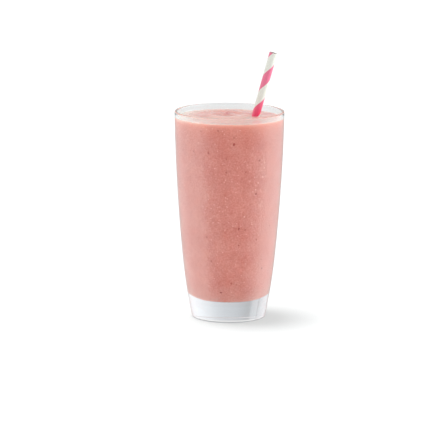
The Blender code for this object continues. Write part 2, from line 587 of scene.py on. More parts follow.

# %% [markdown]
# The foot's narrow ring, on which the tumbler stands, is ground level after pressing. Grinding leaves it
# frosted, so it scatters light both ways. From inside it is nearly white, where the eye sees it as the pale
# line round the bottom of the base. From outside its grey is painted shade: a contact shadow along the foot.

# %% Ground glass
def ground_glass_and_contact_shade():
    material, tree = new_material("ground glass")
    from_inside = add_node(tree, "ShaderNodeNewGeometry").outputs["Backfacing"]
    # From outside the frosted grey is darkened into a painted contact shadow along the foot's bottom edge.
    frost_and_contact_shade = add_node(
        tree,
        "ShaderNodeMix",
        {"data_type": "RGBA"},
        {"Factor": from_inside, "A": colour("#AEB4B7"), "B": colour("#EAEDEF")},
    ).outputs["Result"]
    thrown_back = add_node(tree, "ShaderNodeBsdfDiffuse", inputs={"Color": frost_and_contact_shade}).outputs[0]
    let_through = add_node(tree, "ShaderNodeBsdfTranslucent", inputs={"Color": frost_and_contact_shade}).outputs[0]
    frosted = add_node(tree, "ShaderNodeMixShader", inputs={0: 0.5, 1: thrown_back, 2: let_through})
    finish_material(tree, frosted.outputs[0])
    return material


ground_material = ground_glass_and_contact_shade()
print(ground_material.name)

# %% [markdown]
# A turned thing is made as on a lathe: the outline runs down its outer side and the Screw modifier sweeps it
# round. The modifier's own merge distance suits buildings, so it is set to a hundredth of a millimetre.

# %% Turning an outline
TURN_STEPS = 192
MERGE_DISTANCE = 0.01 * MM
SHARP_FROM = math.radians(40)  # a steeper turn than this between faces stays a crisp edge


def turned_mesh(name, outline):
    """A smooth mesh of revolution about Z from an outline that runs down its outer side."""
    draft = bpy.data.meshes.new(name)
    draft.from_pydata([(r, 0.0, z) for r, z in outline], [(i, i + 1) for i in range(len(outline) - 1)], [])
    lathe = add_object(name + "_on_the_lathe", draft)
    screw = lathe.modifiers.new("Turn", "SCREW")
    screw.steps = screw.render_steps = TURN_STEPS
    screw.use_merge_vertices = True
    screw.merge_threshold = MERGE_DISTANCE
    evaluated = lathe.evaluated_get(bpy.context.evaluated_depsgraph_get())
    mesh = bpy.data.meshes.new_from_object(evaluated)
    bpy.data.objects.remove(lathe)
    mesh.name = name
    mesh.shade_smooth()
    return mesh


print("turned in steps of", 360 / TURN_STEPS, "degrees")

# %% The tumbler
def on_ground_ring(centre):
    """Whether a face is part of the ring that the tumbler stands on."""
    return centre.z < FOOT_CORNER and math.hypot(centre.x, centre.y) > outer_radius(0) - 2 * FOOT_CORNER


def make_glass():
    rim_round = RIM_WALL / 2
    rim_centre = (RIM_RADIUS - rim_round, GLASS_HEIGHT - rim_round)
    foot = rounded_foot_of(outer_radius, 0.0, FOOT_CORNER)
    outline = cavity_outline(GLASS_HEIGHT - rim_round)
    outline += arc(rim_centre, rim_round, math.pi, 0.0, CORNER_STEPS)[1:-1]
    outline += reversed(foot + wall_between(outer_radius, foot[-1][1], GLASS_HEIGHT - rim_round))
    outline.append((PUNT_RADIUS, 0.0))
    outline.append((PUNT_RADIUS * PUNT_SHOULDER[0], PUNT_DEPTH * PUNT_SHOULDER[1]))
    outline.append((0.0, PUNT_DEPTH))
    mesh = turned_mesh("tumbler", outline)
    mesh.set_sharp_from_angle(angle=SHARP_FROM)
    mesh.materials.append(glass_material)
    mesh.materials.append(ground_material)
    for face in mesh.polygons:
        face.material_index = int(on_ground_ring(face.center))
    return add_object("tumbler", mesh)


tumbler = make_glass()
print("the tumbler has", len(tumbler.data.polygons), "faces")

# %% [markdown]
# ## The drink
#
# A smoothie is fruit blended with milk: an opaque, pale pink body with air and tiny bits of fruit in it.
# Light goes in a little way and comes out softened, so it gets some subsurface scattering, red going
# deepest. Its colour isn't even. Large soft clouds are left by the blending and a fine grain by air and pulp,
# and the colour is drawn a little paler lower down. A solid noise on Object coordinates gives the first two,
# because it runs through the drink without a seam.

# %% The grain of air and pulp
GRAIN_SIZE = 1.1 * MM  # real pulp is 0.2 to 0.5 mm, too fine to show in the render, so it is drawn coarser


def pulp_grain(tree):
    """The fine noise of air and pulp."""
    place = add_node(tree, "ShaderNodeTexCoord").outputs["Object"]
    return add_node(
        tree, "ShaderNodeTexNoise", inputs={"Vector": place, "Scale": 1 / GRAIN_SIZE, "Detail": 2.0}
    ).outputs["Fac"]


print("grain of", round(GRAIN_SIZE / MM, 1), "mm")

# %% The drink's own pink
PALE_PINK = colour("#E9A99D")
DEEP_PINK = colour("#CF7D73")
CLOUD_SIZE = 14 * MM
CLOUD_NOISE = (0.3, 0.7)  # the part of the noise that counts, from least to most
CLOUD_PALENESS = (0.15, 0.4)  # and how much paler the drink is there
GRAIN_NOISE = (0.3, 0.75)
GRAIN_PALENESS = (-0.2, 0.47)
PALER_BELOW = 0.1
PALER_HEIGHTS = (90 * MM, 130 * MM)  # all of that up to the first height, and none from the second


def clouded_pink(tree, grain, paler):
    """Clouds and grain between a deep pink and a paler one."""
    place = add_node(tree, "ShaderNodeTexCoord").outputs["Object"]
    height = add_node(tree, "ShaderNodeSeparateXYZ", inputs={0: place}).outputs["Z"]
    clouds = add_node(
        tree, "ShaderNodeTexNoise", inputs={"Vector": place, "Scale": 1 / CLOUD_SIZE, "Detail": 3.0}
    ).outputs["Fac"]
    cloud_share = add_node(
        tree,
        "ShaderNodeMapRange",
        inputs={
            "Value": clouds,
            "From Min": CLOUD_NOISE[0],
            "From Max": CLOUD_NOISE[1],
            "To Min": CLOUD_PALENESS[0],
            "To Max": CLOUD_PALENESS[1],
        },
    ).outputs["Result"]
    grain_share = add_node(
        tree,
        "ShaderNodeMapRange",
        inputs={
            "Value": grain,
            "From Min": GRAIN_NOISE[0],
            "From Max": GRAIN_NOISE[1],
            "To Min": GRAIN_PALENESS[0],
            "To Max": GRAIN_PALENESS[1],
        },
    ).outputs["Result"]
    below_share = add_node(
        tree,
        "ShaderNodeMapRange",
        {"interpolation_type": "SMOOTHSTEP"},
        {
            "Value": height,
            "From Min": PALER_HEIGHTS[0],
            "From Max": PALER_HEIGHTS[1],
            "To Min": PALER_BELOW,
            "To Max": 0.0,
        },
    ).outputs["Result"]
    paleness = cloud_share
    for share in (grain_share, below_share):
        paleness = add_node(
            tree, "ShaderNodeMath", {"operation": "ADD"}, {0: paleness, 1: share}
        ).outputs[0]
    return add_node(
        tree, "ShaderNodeMix", {"data_type": "RGBA"}, {"Factor": paleness, "A": DEEP_PINK, "B": paler}
    ).outputs["Result"]


print("clouds of", round(CLOUD_SIZE / MM), "mm")

# %% [markdown]
# Just under its level the drink changes. A coral band a few millimetres deep is painted light: the warm glow
# of the lamp above shining down through the top. Foam lies against the glass above it, least in front and
# thickest at the back. Both fade with depth as a light fades in fog, by the same share for each millimetre,
# so an exponent draws them. How much foam there is round the glass comes as an attribute on the drink's
# points.

# %% Coral and foam under the level
# The coral is painted light: the warm glow of the lamp above shining down through the top.
PAINTED_GLOW_CORAL = colour("#EE9680")
UNDER_FOAM = colour("#F4CABE")
FOAM_IN_FRONT = (0.28, 0.32)  # the share of foam at the level, in the middle of the front and beside it
PAINTED_GLOW_SHARE = (0.5, 0.75)  # at the level, in the same two places
PAINTED_GLOW_DEPTH = 5 * MM
MUCH_FOAM = 0.4  # the share from which it starts to reach deeper
FOAM_DEPTH = (2.6 * MM, 10 * MM)  # where there is little foam, and where all is foam


def faded(tree, above_level, depth, share):
    """A share that fades below the level, to about a third of itself for each depth."""
    depths = add_node(tree, "ShaderNodeMath", {"operation": "DIVIDE"}, {0: above_level, 1: depth})
    left = add_node(tree, "ShaderNodeMath", {"operation": "EXPONENT"}, {0: depths.outputs[0]})
    return add_node(
        tree, "ShaderNodeMath", {"operation": "MULTIPLY"}, {0: left.outputs[0], 1: share}
    ).outputs[0]


def painted_glow_and_foam_at_level(tree, pink):
    """The drink's pink, with a painted coral glow of light from above and then foam laid over it near the
    level.
    """
    place = add_node(tree, "ShaderNodeTexCoord").outputs["Object"]
    height = add_node(tree, "ShaderNodeSeparateXYZ", inputs={0: place}).outputs["Z"]
    above_level = add_node(
        tree, "ShaderNodeMath", {"operation": "SUBTRACT"}, {0: height, 1: LEVEL}
    ).outputs[0]
    foam = add_node(tree, "ShaderNodeAttribute", {"attribute_name": "foam"}).outputs["Fac"]
    painted_glow_share = add_node(
        tree,
        "ShaderNodeMapRange",
        inputs={
            "Value": foam,
            "From Min": FOAM_IN_FRONT[0],
            "From Max": FOAM_IN_FRONT[1],
            "To Min": PAINTED_GLOW_SHARE[0],
            "To Max": PAINTED_GLOW_SHARE[1],
        },
    ).outputs["Result"]
    foam_depth = add_node(
        tree,
        "ShaderNodeMapRange",
        inputs={"Value": foam, "From Min": MUCH_FOAM, "To Min": FOAM_DEPTH[0], "To Max": FOAM_DEPTH[1]},
    ).outputs["Result"]
    for depth, share, laid_over in ((PAINTED_GLOW_DEPTH, painted_glow_share, PAINTED_GLOW_CORAL), (foam_depth, foam, UNDER_FOAM)):
        pink = add_node(
            tree,
            "ShaderNodeMix",
            {"data_type": "RGBA"},
            {"Factor": faded(tree, above_level, depth, share), "A": pink, "B": laid_over},
        ).outputs["Result"]
    return pink


print("coral to about", round(PAINTED_GLOW_DEPTH / MM), "mm below the level")

# %% [markdown]
# One mesh carries three finishes of the same drink. Against the glass it has no gloss of its own, because
# glass and drink touch and no air lies between them. On the thick floor it matters that the drink bends
# light less than the glass does: light that meets it at a flat angle from inside the glass is thrown back,
# which keeps the base clear instead of pink. A Fresnel node with the ratio of the two indices mixes that
# mirror in.

# %% Blended fruit and milk, against the glass and on its floor
DRINK_IOR = 1.36
SCATTER_DEPTH = 4 * MM
SCATTER_COLOURS = (1.0, 0.45, 0.35)  # how far red, green and blue go in, as shares of that depth


def smoothie_body():
    """Where the drink lies against the wall: soft, even and without gloss."""
    material, tree = new_material("blended fruit and milk")
    pink = painted_glow_and_foam_at_level(tree, clouded_pink(tree, pulp_grain(tree), PALE_PINK))
    body = add_node(
        tree,
        "ShaderNodeBsdfPrincipled",
        inputs={
            "Base Color": pink,
            "Roughness": 0.7,
            "IOR": DRINK_IOR,
            "Specular IOR Level": 0.0,
            "Subsurface Weight": 0.8,
            "Subsurface Radius": SCATTER_COLOURS,
            "Subsurface Scale": SCATTER_DEPTH,
        },
    )
    finish_material(tree, body.outputs[0])
    return material


def smoothie_on_the_floor():
    """Where the drink lies on the floor: pink from straight below, and a mirror at flat angles."""
    material, tree = new_material("smoothie seen through the base")
    body = add_node(
        tree,
        "ShaderNodeBsdfPrincipled",
        inputs={
            "Base Color": clouded_pink(tree, pulp_grain(tree), PALE_PINK),
            "Roughness": 0.7,
            "Specular IOR Level": 0.0,
        },
    ).outputs[0]
    mirror = add_node(tree, "ShaderNodeBsdfGlossy", inputs={"Roughness": 0.0}).outputs[0]
    thrown_back = add_node(tree, "ShaderNodeFresnel", inputs={"IOR": DRINK_IOR / GLASS_IOR}).outputs[0]
    both = add_node(tree, "ShaderNodeMixShader", inputs={0: thrown_back, 1: body, 2: mirror})
    finish_material(tree, both.outputs[0])
    return material


print("the light goes", round(SCATTER_DEPTH / MM, 1), "mm deep")

# %% [markdown]
# The open top is the same drink, wet and shining. A lighter coral runs along the crest of the fold as a
# painted highlight. On the top float cream-coloured foam that is pinker in front and streaks of fruit, and
# the same rose streaks paint the straw's shadow beside it. Each is laid over the last by an attribute of its
# own. Foam and fruit are also less shiny than the bare drink, and the grain raises the wet skin a little, so
# that its gloss breaks up.

# %% The wet top
TOP_PINK = colour("#F0BDB2")
CREST_HIGHLIGHT_COLOUR = colour("#FAC0B2")
FOAM_CREAM = colour("#E0D8CF")
FRONT_CREAM = colour("#FFE1D7")
FRONT_CREAM_REACH = (-13 * MM, -25 * MM)  # from where to where, along Y, the one turns to the other
FRUIT_AND_SHADOW_ROSE = colour("#B9525A")
TOP_ROUGHNESS = (0.12, 0.4)  # of the bare drink, and of foam and fruit
SKIN_HEIGHT = 0.12 * MM


def smoothie_top():
    material, tree = new_material("wet top of the smoothie")
    grain = pulp_grain(tree)
    foam, fruit, ribbon = (
        add_node(tree, "ShaderNodeAttribute", {"attribute_name": name}).outputs["Fac"]
        for name in ("foam", "fruit", "ribbon")
    )
    place = add_node(tree, "ShaderNodeTexCoord").outputs["Object"]
    in_front = add_node(
        tree,
        "ShaderNodeMapRange",
        {"interpolation_type": "SMOOTHSTEP"},
        {
            "Value": add_node(tree, "ShaderNodeSeparateXYZ", inputs={0: place}).outputs["Y"],
            "From Min": FRONT_CREAM_REACH[0],
            "From Max": FRONT_CREAM_REACH[1],
        },
    ).outputs["Result"]
    cream = add_node(
        tree, "ShaderNodeMix", {"data_type": "RGBA"}, {"Factor": in_front, "A": FOAM_CREAM, "B": FRONT_CREAM}
    ).outputs["Result"]
    pink = clouded_pink(tree, grain, TOP_PINK)
    # The crest's lighter coral is a painted highlight, and some of the rose streaks are the straw's painted
    # shadow.
    for share, laid_over in ((ribbon, CREST_HIGHLIGHT_COLOUR), (foam, cream), (fruit, FRUIT_AND_SHADOW_ROSE)):
        pink = add_node(
            tree, "ShaderNodeMix", {"data_type": "RGBA"}, {"Factor": share, "A": pink, "B": laid_over}
        ).outputs["Result"]
    matt = add_node(tree, "ShaderNodeMath", {"operation": "MAXIMUM"}, {0: foam, 1: fruit}).outputs[0]
    roughness = add_node(
        tree,
        "ShaderNodeMapRange",
        inputs={"Value": matt, "To Min": TOP_ROUGHNESS[0], "To Max": TOP_ROUGHNESS[1]},
    ).outputs["Result"]
    skin = add_node(
        tree, "ShaderNodeBump", inputs={"Height": grain, "Strength": 0.35, "Distance": SKIN_HEIGHT}
    ).outputs["Normal"]
    top = add_node(
        tree,
        "ShaderNodeBsdfPrincipled",
        inputs={
            "Base Color": pink,
            "Roughness": roughness,
            "IOR": DRINK_IOR,
            "Specular IOR Level": 0.3,
            "Subsurface Weight": 0.5,
            "Subsurface Radius": SCATTER_COLOURS,
            "Subsurface Scale": SCATTER_DEPTH,
            "Normal": skin,
        },
    )
    finish_material(tree, top.outputs[0])
    return material


drink_finishes = (smoothie_body(), smoothie_top(), smoothie_on_the_floor())
print([finish.name for finish in drink_finishes])

# %% [markdown]
# ## The shape of the top
#
# The drink was poured and has nearly settled. Its top keeps the solid's one spiral fold and its slight tilt,
# and adds what a thick drink does: it climbs the glass and the straw a little, and it heaves slightly. All
# of it is a height over a flat disk, so it is written as a function of the place on that disk.

# %% The height of the top
CLIMB_HEIGHT = 0.3 * MM
CLIMB_WIDTH = 1.6 * MM
HEAVE_HEIGHT = 0.14 * MM
HEAVE_WIDTH = 9 * MM


def from_fold(x, y):
    """How far a place lies from the fold's own centre, and how many turns of the fold away."""
    dx, dy = x - FOLD_CENTRE[0], y - FOLD_CENTRE[1]
    away = math.hypot(dx, dy)
    return away, away / FOLD_PITCH - math.atan2(dy, dx) / (2 * math.pi)


def fold_height(x, y):
    """Height of the solid's top above the level: one spiral fold on a slightly tilted surface."""
    away, turns = from_fold(x, y)
    edge = (inner_radius(LEVEL) - math.hypot(x, y)) / FOLD_FADE
    strength = min(1.0, max(0.0, edge)) * min(1.0, away / (FOLD_PITCH / 2))
    return FOLD_HEIGHT * strength * math.cos(2 * math.pi * turns) - DRINK_TILT * x / RIM_RADIUS


def climb(distance):
    """How high the drink clings at a distance from what it touches."""
    return CLIMB_HEIGHT * math.exp(-max(0.0, distance) / CLIMB_WIDTH)


def straw_distance(point):
    """How far a point is from the outside of the straw."""
    offset = point - STRAW_FOOT
    return (offset - offset.dot(STRAW_AXIS) * STRAW_AXIS).length - STRAW_RADIUS


def top_height(x, y):
    """The finished height of the drink's top above its level."""
    heave = HEAVE_HEIGHT * noise.noise(Vector((x, y, 0)) / HEAVE_WIDTH)
    to_wall = inner_radius(LEVEL) - math.hypot(x, y)
    to_straw = straw_distance(Vector((x, y, LEVEL)))
    return fold_height(x, y) + heave + climb(to_wall) + climb(to_straw)


print("the middle of the top is", round(top_height(0, 0) / MM, 2), "mm above the level")

# %% [markdown]
# ## What floats on the top
#
# Foam and fruit lie in patches that the last slow swirl has drawn out. They could be painted on an image,
# but a few soft shapes do it: a painted highlight along the crest of the fold, foam that thickens to the
# left, in front and along the glass, and four streaks behind the middle, two of fruit and two of painted
# shadow beside the straw. A slow noise then carries every edge a few millimetres to and fro, because nothing
# that floats has a straight one.

# %% Soft edges, soft spots and the last swirl
DRIFT_REACH = 5 * MM  # how far the swirl has carried an edge at most
DRIFT_WIDTH = 17 * MM
DRIFT_SEED = 3  # without one of its own, this noise takes the clock's, and each run looks different
NEARLY_NOTHING = 0.1 * MM  # keeps a direction from the axis sensible on the axis itself
noise.seed_set(DRIFT_SEED)


def smooth_step(start, end, value):
    """From 0 at the start to 1 at the end, with soft ends. The end may be lower than the start."""
    share = min(1.0, max(0.0, (value - start) / (end - start)))
    return share * share * (3 - 2 * share)


def soft_spot(x, y, spot):
    """A share that is greatest in the middle of a spot and fades from it."""
    at_x, at_y, wide, deep, share = spot
    return share * math.exp(-(((x - at_x) / wide) ** 2) - ((y - at_y) / deep) ** 2)


def behindness(x, y):
    """From -1 in front, on the picture's side, to 1 behind."""
    return y / math.hypot(x, y, NEARLY_NOTHING)


def drifted(x, y):
    """Where what now floats at a place began."""
    push = noise.noise_vector(Vector((x, y, 0)) / DRIFT_WIDTH)
    return x + DRIFT_REACH * push.x, y + DRIFT_REACH * push.y


print("what floats at the middle began at", [round(x / MM, 1) for x in drifted(0, 0)], "mm")

# %% Ribbon, foam and fruit
# The crest highlight is painted light, where the crest of the fold catches the light.
CREST_HIGHLIGHT_SPOT = (1 * MM, 3 * MM, 24 * MM, 17 * MM, 0.8)  # its middle, width, depth, and the share there
STREAKS_OF_FRUIT_AND_STRAW_SHADOW = [  # likewise
    (-1.5 * MM, 19 * MM, 2.4 * MM, 7 * MM, 0.9),
    (-4 * MM, 18 * MM, 7 * MM, 6 * MM, 0.2),
    # The next two streaks are painted shadow of the straw, not fruit.
    (15 * MM, 19 * MM, 4 * MM, 7 * MM, 0.5),
    (29 * MM, 17 * MM, 5 * MM, 7 * MM, 0.45),
]
LEFT_FOAM = (0.85, -20 * MM, -37 * MM)  # its share, and from where to where it thickens, along X
FRONT_FOAM = (0.45, 8 * MM, -1 * MM)  # likewise along Y
FRONT_SLANT = 0.15  # how much farther back its edge lies towards the right
# A full crest highlight clears this share of the foam in front.
CREST_CLEARS_FOAM = 0.8  # how much of the foam in front a full ribbon pushes aside
BACK_FOAM = (0.35, -6 * MM, -20 * MM)  # along X, on the left behind
BACK_FOAM_EDGE = (22 * MM, 30 * MM)  # along Y
WALL_FOAM_WIDTH = 2 * MM
WALL_FOAM_BEHIND = 0.95
WALL_FOAM_FRONT = (5 * MM, 14 * MM)  # from where to where, to both sides, it thickens in front
WALL_FOAM_TURN = (-0.2, 0.3)  # and on its way round to the back


def crest_highlight_at(x, y):
    """The share of painted highlight along the crest of the fold, strongest in the middle."""
    x, y = drifted(x, y)
    _, turns = from_fold(x, y)
    return soft_spot(x, y, CREST_HIGHLIGHT_SPOT) * (0.5 + 0.5 * math.cos(2 * math.pi * turns)) ** 2


def foam_on_wall(x, y):
    """The share of foam along the glass, at the level and just under it: least in front."""
    least, more = FOAM_IN_FRONT
    front = least + (more - least) * smooth_step(*WALL_FOAM_FRONT, abs(x))
    return front + (WALL_FOAM_BEHIND - front) * smooth_step(*WALL_FOAM_TURN, behindness(x, y))


def foam_at(x, y):
    """The share of pale foam on the top, all its patches together."""
    to_wall = max(0.0, inner_radius(LEVEL) - math.hypot(x, y))
    along_wall = foam_on_wall(x, y) * math.exp(-to_wall / WALL_FOAM_WIDTH)
    beside_crest_highlight = 1 - CREST_CLEARS_FOAM * crest_highlight_at(x, y)
    x, y = drifted(x, y)
    patches = (
        LEFT_FOAM[0] * smooth_step(*LEFT_FOAM[1:], x),
        FRONT_FOAM[0] * smooth_step(*FRONT_FOAM[1:], y - FRONT_SLANT * x) * beside_crest_highlight,
        BACK_FOAM[0] * smooth_step(*BACK_FOAM[1:], x) * smooth_step(*BACK_FOAM_EDGE, y),
        along_wall,
    )
    return 1 - math.prod(1 - patch for patch in patches)


def fruit_and_straw_shadow_at(x, y):
    """The share of fruit left in streaks on the top behind the middle, and of painted shadow beside the
    straw.
    """
    x, y = drifted(x, y)
    return max(soft_spot(x, y, streak) for streak in STREAKS_OF_FRUIT_AND_STRAW_SHADOW)


print("foam at the left edge of the top:", round(foam_at(-38 * MM, 0), 2))

# %% [markdown]
# ## Pouring the drink
#
# The drink replaces a plain solid that stands a hair clear of the glass. Here it reaches 0.15 mm into the
# wall, so that no air shows between them. It is turned like the glass, with fine rings on top, and then its
# top points are lifted and every point is told what floats there.

# %% The drink in the glass
REACH = 0.15 * MM  # into the glass's wall
TOP_RINGS = 84
LYING_FLAT = 0.6 * MM  # the drink lies on the floor up to this height above its middle
LEVEL_EDGE = math.radians(50)  # where the top meets the wall, the edge stays crisp
BODY_FINISH, TOP_FINISH, FLOOR_FINISH = range(3)


def finish_of(face, on_top):
    if all(on_top[i] for i in face.vertices):
        return TOP_FINISH
    return FLOOR_FINISH if face.center.z < FLOOR_THICKNESS + LYING_FLAT else BODY_FINISH


def share_of_foam(place, is_top):
    """On the top as foam_at says, on the wall as foam_on_wall says, and none on the bowl below."""
    if is_top:
        return foam_at(place.x, place.y)
    return foam_on_wall(place.x, place.y) if place.z > FLOOR_THICKNESS + FLOOR_CORNER else 0.0


def make_smoothie():
    sides = cavity_outline(LEVEL, -REACH)
    top_radius = sides[-1][0]
    rings = [(top_radius * i / TOP_RINGS, LEVEL) for i in range(TOP_RINGS)]
    mesh = turned_mesh("poured_smoothie", rings + sides[::-1])
    for finish in drink_finishes:
        mesh.materials.append(finish)
    on_top = [v.co.z > LEVEL - MERGE_DISTANCE for v in mesh.vertices]
    for face in mesh.polygons:
        face.material_index = finish_of(face, on_top)
    places = [v.co.copy() for v in mesh.vertices]
    for vertex, place, is_top in zip(mesh.vertices, places, on_top):
        if is_top:
            vertex.co.z += top_height(place.x, place.y)
    shares = {
        "foam": [share_of_foam(p, is_top) for p, is_top in zip(places, on_top)],
        # The fruit attribute also carries the straw's painted shadow.
        "fruit": [fruit_and_straw_shadow_at(p.x, p.y) if is_top else 0.0 for p, is_top in zip(places, on_top)],
        "ribbon": [crest_highlight_at(p.x, p.y) if is_top else 0.0 for p, is_top in zip(places, on_top)],
    }
    for attribute, values in shares.items():
        mesh.attributes.new(attribute, "FLOAT", "POINT").data.foreach_set("value", values)
    mesh.set_sharp_from_angle(angle=LEVEL_EDGE)
    return add_object("poured_smoothie", mesh)


smoothie = make_smoothie()
highest = max(v.co.z for v in smoothie.data.vertices)
print("the drink stands", round(highest / MM, 2), "mm high in", len(smoothie.data.polygons), "faces")

# %% [markdown]
# ## The straw
#
# A paper straw is a narrow strip of paper wound like a screw thread round a rod and glued to itself. Its
# print is straight stripes along the strip, so on the straw they climb in a spiral of the same pitch as the
# seam. That rule is what Geometry Nodes are good at: a tube is swept along a line, its wall is pushed out
# from the bore, and the seam is pressed in along the winding. The two functions below begin and end every
# such tree, and the third runs one and keeps its result as a plain mesh.

# %% A Geometry Nodes tree with named inputs
def new_tree(name, sockets):
    """A tree for a modifier: its inputs by name and kind, their identifiers, and its group nodes."""
    tree = bpy.data.node_groups.new(name, "GeometryNodeTree")
    tree.is_modifier = True
    tree.interface.new_socket("Geometry", in_out="OUTPUT", socket_type="NodeSocketGeometry")
    tree.interface.new_socket("Geometry", in_out="INPUT", socket_type="NodeSocketGeometry")
    identifiers = {}
    for socket_name, kind in sockets.items():
        socket = tree.interface.new_socket(socket_name, in_out="INPUT", socket_type="NodeSocket" + kind)
        identifiers[socket_name] = socket.identifier
    given = add_node(tree, "NodeGroupInput").outputs
    return tree, identifiers, given


def end_tree(tree, geometry, material_socket):
    """Makes the instances real, gives them their material, and ends the tree."""
    real = add_node(tree, "GeometryNodeRealizeInstances", inputs={"Geometry": geometry})
    dressed = add_node(
        tree,
        "GeometryNodeSetMaterial",
        inputs={"Geometry": real.outputs["Geometry"], "Material": material_socket},
    )
    add_node(tree, "NodeGroupOutput", inputs={0: dressed.outputs["Geometry"]})


def grown(name, mesh, tree, identifiers, values):
    """Runs a tree on a mesh and returns a plain object with the result."""
    thing = add_object(name, mesh)
    modifier = thing.modifiers.new("Nodes", "NODES")
    modifier.node_group = tree
    for socket_name, value in values.items():
        modifier[identifiers[socket_name]] = value
    thing.update_tag()
    bpy.context.view_layer.update()
    evaluated = thing.evaluated_get(bpy.context.evaluated_depsgraph_get())
    result = bpy.data.meshes.new_from_object(evaluated)
    thing.modifiers.clear()
    thing.data = result
    result.name = name
    return thing


print("trees are built below, one for the straw and one for what is sprinkled")

# %% [markdown]
# The strip of paper follows one rule. A place on the straw is as many turns along the strip as its height
# holds pitches, less its own part of a turn round the axis. Where that number is whole, two edges of the
# strip meet. Both the seam here and the stripes further down are read from it, so they can't part.

# %% The rule of the winding
WINDING_PITCH = 26 * MM


def turns_wound(tree, place, pitch):
    """How many turns a place is past the start of the strip: its way up, less its way round."""
    axes = add_node(tree, "ShaderNodeSeparateXYZ", inputs={0: place}).outputs
    climbed = add_node(tree, "ShaderNodeMath", {"operation": "DIVIDE"}, {0: axes["Z"], 1: pitch})
    angle = add_node(tree, "ShaderNodeMath", {"operation": "ARCTAN2"}, {0: axes["Y"], 1: axes["X"]})
    round_share = add_node(
        tree, "ShaderNodeMath", {"operation": "DIVIDE"}, {0: angle.outputs[0], 1: 2 * math.pi}
    )
    return add_node(
        tree, "ShaderNodeMath", {"operation": "SUBTRACT"}, {0: climbed.outputs[0], 1: round_share.outputs[0]}
    ).outputs[0]


strip_angle = math.atan(WINDING_PITCH / (2 * math.pi * STRAW_RADIUS))
print("the strip climbs at", round(math.degrees(strip_angle)), "degrees")

# %% The seam, pressed in along the winding
SEAM_DEPTH = 0.07 * MM
SEAM_WIDTH = 0.45 * MM


def seam_offset(tree, given):
    """How the wall is pressed in along the seam."""
    position = add_node(tree, "GeometryNodeInputPosition").outputs[0]
    wound = turns_wound(tree, position, given["Pitch"])
    nearest = add_node(tree, "ShaderNodeMath", {"operation": "PINGPONG"}, {0: wound, 1: 0.5})
    away = add_node(
        tree, "ShaderNodeMath", {"operation": "MULTIPLY"}, {0: nearest.outputs[0], 1: given["Pitch"]}
    )
    press = add_node(
        tree,
        "ShaderNodeMapRange",
        {"interpolation_type": "SMOOTHSTEP"},
        {
            "Value": away.outputs[0],
            "From Max": given["Seam Width"],
            "To Min": given["Seam Depth"],
            "To Max": 0.0,
        },
    )
    inwards = add_node(
        tree, "ShaderNodeMath", {"operation": "MULTIPLY"}, {0: press.outputs["Result"], 1: -1.0}
    )
    normal = add_node(tree, "GeometryNodeInputNormal").outputs[0]
    return add_node(
        tree, "ShaderNodeVectorMath", {"operation": "SCALE"}, {"Vector": normal, "Scale": inwards.outputs[0]}
    ).outputs[0]


print("the seam is", round(SEAM_DEPTH / MM, 2), "mm deep")

# %% The tube, swept along a line
ROUND_STEPS = 48
LENGTH_STEPS = 380
WELD_DISTANCE = 0.001 * MM


def winding_tree():
    tree, identifiers, given = new_tree(
        "wound paper tube",
        {
            "Bore Radius": "Float",
            "Paper Wall": "Float",
            "Length": "Float",
            "Pitch": "Float",
            "Seam Depth": "Float",
            "Seam Width": "Float",
            "Lean": "Rotation",
            "Foot": "Vector",
            "Paper": "Material",
        },
    )
    line = add_node(
        tree,
        "GeometryNodeCurvePrimitiveLine",
        {"mode": "DIRECTION"},
        {"Direction": (0, 0, 1), "Length": given["Length"]},
    )
    steps = add_node(
        tree, "GeometryNodeResampleCurve", inputs={"Curve": line.outputs["Curve"], "Count": LENGTH_STEPS}
    )
    circle = add_node(
        tree,
        "GeometryNodeCurvePrimitiveCircle",
        {"mode": "RADIUS"},
        {"Resolution": ROUND_STEPS, "Radius": given["Bore Radius"]},
    )
    bore = add_node(
        tree,
        "GeometryNodeCurveToMesh",
        inputs={"Curve": steps.outputs["Curve"], "Profile Curve": circle.outputs["Curve"]},
    ).outputs["Mesh"]
    wall = add_node(
        tree,
        "GeometryNodeExtrudeMesh",
        {"mode": "FACES"},
        {"Mesh": bore, "Offset Scale": given["Paper Wall"], "Individual": False},
    ).outputs
    pressed = add_node(
        tree,
        "GeometryNodeSetPosition",
        inputs={"Geometry": wall["Mesh"], "Selection": wall["Top"], "Offset": seam_offset(tree, given)},
    )
    inside = add_node(tree, "GeometryNodeFlipFaces", inputs={"Mesh": bore})
    both = add_node(tree, "GeometryNodeJoinGeometry", inputs={0: inside.outputs[0]})
    tree.links.new(pressed.outputs[0], both.inputs[0])
    welded = add_node(
        tree,
        "GeometryNodeMergeByDistance",
        inputs={"Geometry": both.outputs[0], "Distance": WELD_DISTANCE},
    )
    placed = add_node(
        tree,
        "GeometryNodeTransform",
        inputs={"Geometry": welded.outputs[0], "Translation": given["Foot"], "Rotation": given["Lean"]},
    )
    end_tree(tree, placed.outputs[0], given["Paper"])
    return tree, identifiers


winding, winding_inputs = winding_tree()
print("the winding tree has", len(winding.nodes), "nodes")

# %% [markdown]
# ## The straw's paper
#
# The print is drawn by the same rule as the seam, the turns wound. A Mapping node first turns Object
# coordinates into the straw's own, so that the stripes keep to the paper. The paper is uncoated and matt,
# white with short fibres, and the pink ink sinks in a little unevenly and frays at its edge. Near the drink
# it has soaked: there the pink is deeper and the paper shines a little. Inside, the bore shows the plain
# inner ply, drawn a dark brown-grey that is partly painted shade in the bore.

# %% Where the paper is printed, outside and wet
STRIPE_SHARE = 0.485  # of each turn that is pink
STRIPE_PHASE = 0.332
STRIPE_BLUR = 0.004  # of a turn
FRAYING = 0.012  # of a turn
SOAKED = (1 * MM, 16 * MM)  # wet up to the first height above the level, and dry from the second
INNER_PLY_DEPTH = 0.6 * STRAW_WALL  # from the outside


